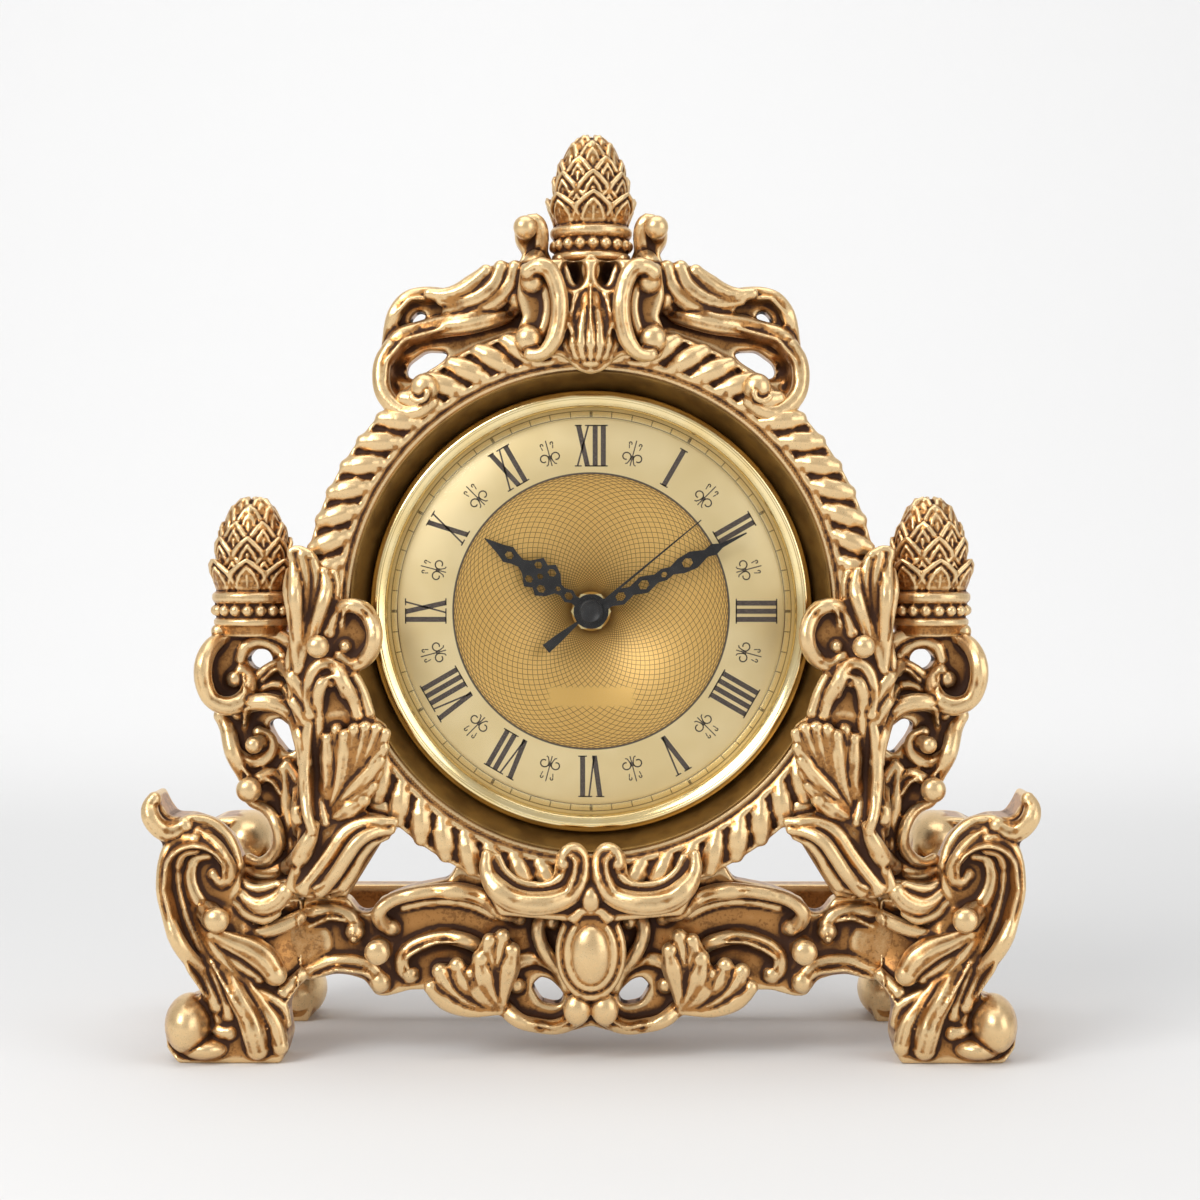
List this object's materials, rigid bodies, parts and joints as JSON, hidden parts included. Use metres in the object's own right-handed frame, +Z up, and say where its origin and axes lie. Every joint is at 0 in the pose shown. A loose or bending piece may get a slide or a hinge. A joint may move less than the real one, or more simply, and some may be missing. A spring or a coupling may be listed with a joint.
{
  "type": "mantel clock",
  "caption": "Rococo scrollwork mantel clock on scroll legs, gilt resin, with a round battery clock, pierced hands, pine-cone finials and an open back window for cell and setting knob.",
  "frame": {"origin": "middle of the box round the clock, on the table it stands on", "axes": "+X to the right as seen from the front, the dial faces -Y, +Z up"},
  "size_m": [0.2536, 0.087, 0.2653],
  "materials": {
    "gilt_resin": "cast resin with antique gold paint, dark brown in the hollows",
    "drum_metal": "satin dark brown",
    "cover_plastic": "matte black",
    "steel": "bright zinc",
    "brass": "polished",
    "lens": "clear, polished",
    "dial_gold": "champagne gold, printed",
    "case_plastic": "fine matte black",
    "board": "green lacquer",
    "copper": "enamelled copper wire",
    "black_metal": "satin black",
    "wheel_plastic": "natural white",
    "battery_jacket": "plain film jacket"
  },
  "bodies": {
    "clock": {"crest": "gilt_resin", "top_finial": "gilt_resin", "side_finial_left": "gilt_resin", "side_finial_right": "gilt_resin", "side_bracket_left": "gilt_resin", "side_bracket_right": "gilt_resin", "front_apron": "gilt_resin", "cartouche_cabochon": "gilt_resin", "front_leg_left": "gilt_resin", "front_leg_right": "gilt_resin", "rear_leg_left": "gilt_resin", "rear_leg_right": "gilt_resin", "rear_rail": "gilt_resin", "side_rail_left": "gilt_resin", "side_rail_right": "gilt_resin", "dial_ring": "gilt_resin", "drum": "drum_metal", "rear_cover": "cover_plastic", "rear_cover_screws": "steel", "bezel": "brass", "lens": "lens", "dial_plate": "dial_gold", "dial_nut": "brass", "movement_front_case": "case_plastic", "movement_back_case": "case_plastic", "battery_contact_positive": "steel", "battery_contact_negative": "steel", "circuit_board": "board", "motor_stator": "steel", "motor_coil": "copper"},
    "hour": {"hour_hand": "black_metal", "hour_wheel": "wheel_plastic"},
    "minute": {"minute_hand": "black_metal", "cannon_pinion": "wheel_plastic"},
    "second": {"second_hand": "black_metal", "second_wheel": "wheel_plastic"},
    "setter": {"setting_wheel": "wheel_plastic", "set_knob": "case_plastic"},
    "cell": {"battery": "battery_jacket"}
  },
  "joints": [
    {"name": "minute_hand_turn", "type": "hinge", "parent": "clock", "child": "minute", "pos_m": [0, -0.027, 0.1283], "axis": [0, 1, 0], "continuous": true},
    {"name": "hour_hand_turn", "type": "hinge", "parent": "clock", "child": "hour", "pos_m": [0, -0.026, 0.1283], "axis": [0, 1, 0], "continuous": true},
    {"name": "set_knob_turn", "type": "hinge", "parent": "clock", "child": "setter", "pos_m": [0.0096, -0.007, 0.1283], "axis": [0, 1, 0], "continuous": true},
    {"name": "second_hand_turn", "type": "hinge", "parent": "clock", "child": "second", "pos_m": [0, -0.028, 0.1283], "axis": [0, 1, 0], "continuous": true},
    {"name": "battery_out", "type": "slide", "parent": "clock", "child": "cell", "axis": [0, 1, 0], "range_m": [0, 0.026]}
  ],
  "couplings": [
    {"joint": "hour_hand_turn", "follows": "minute_hand_turn", "ratio": 0.083333},
    {"joint": "set_knob_turn", "follows": "minute_hand_turn", "ratio": -0.33333}
  ]
}
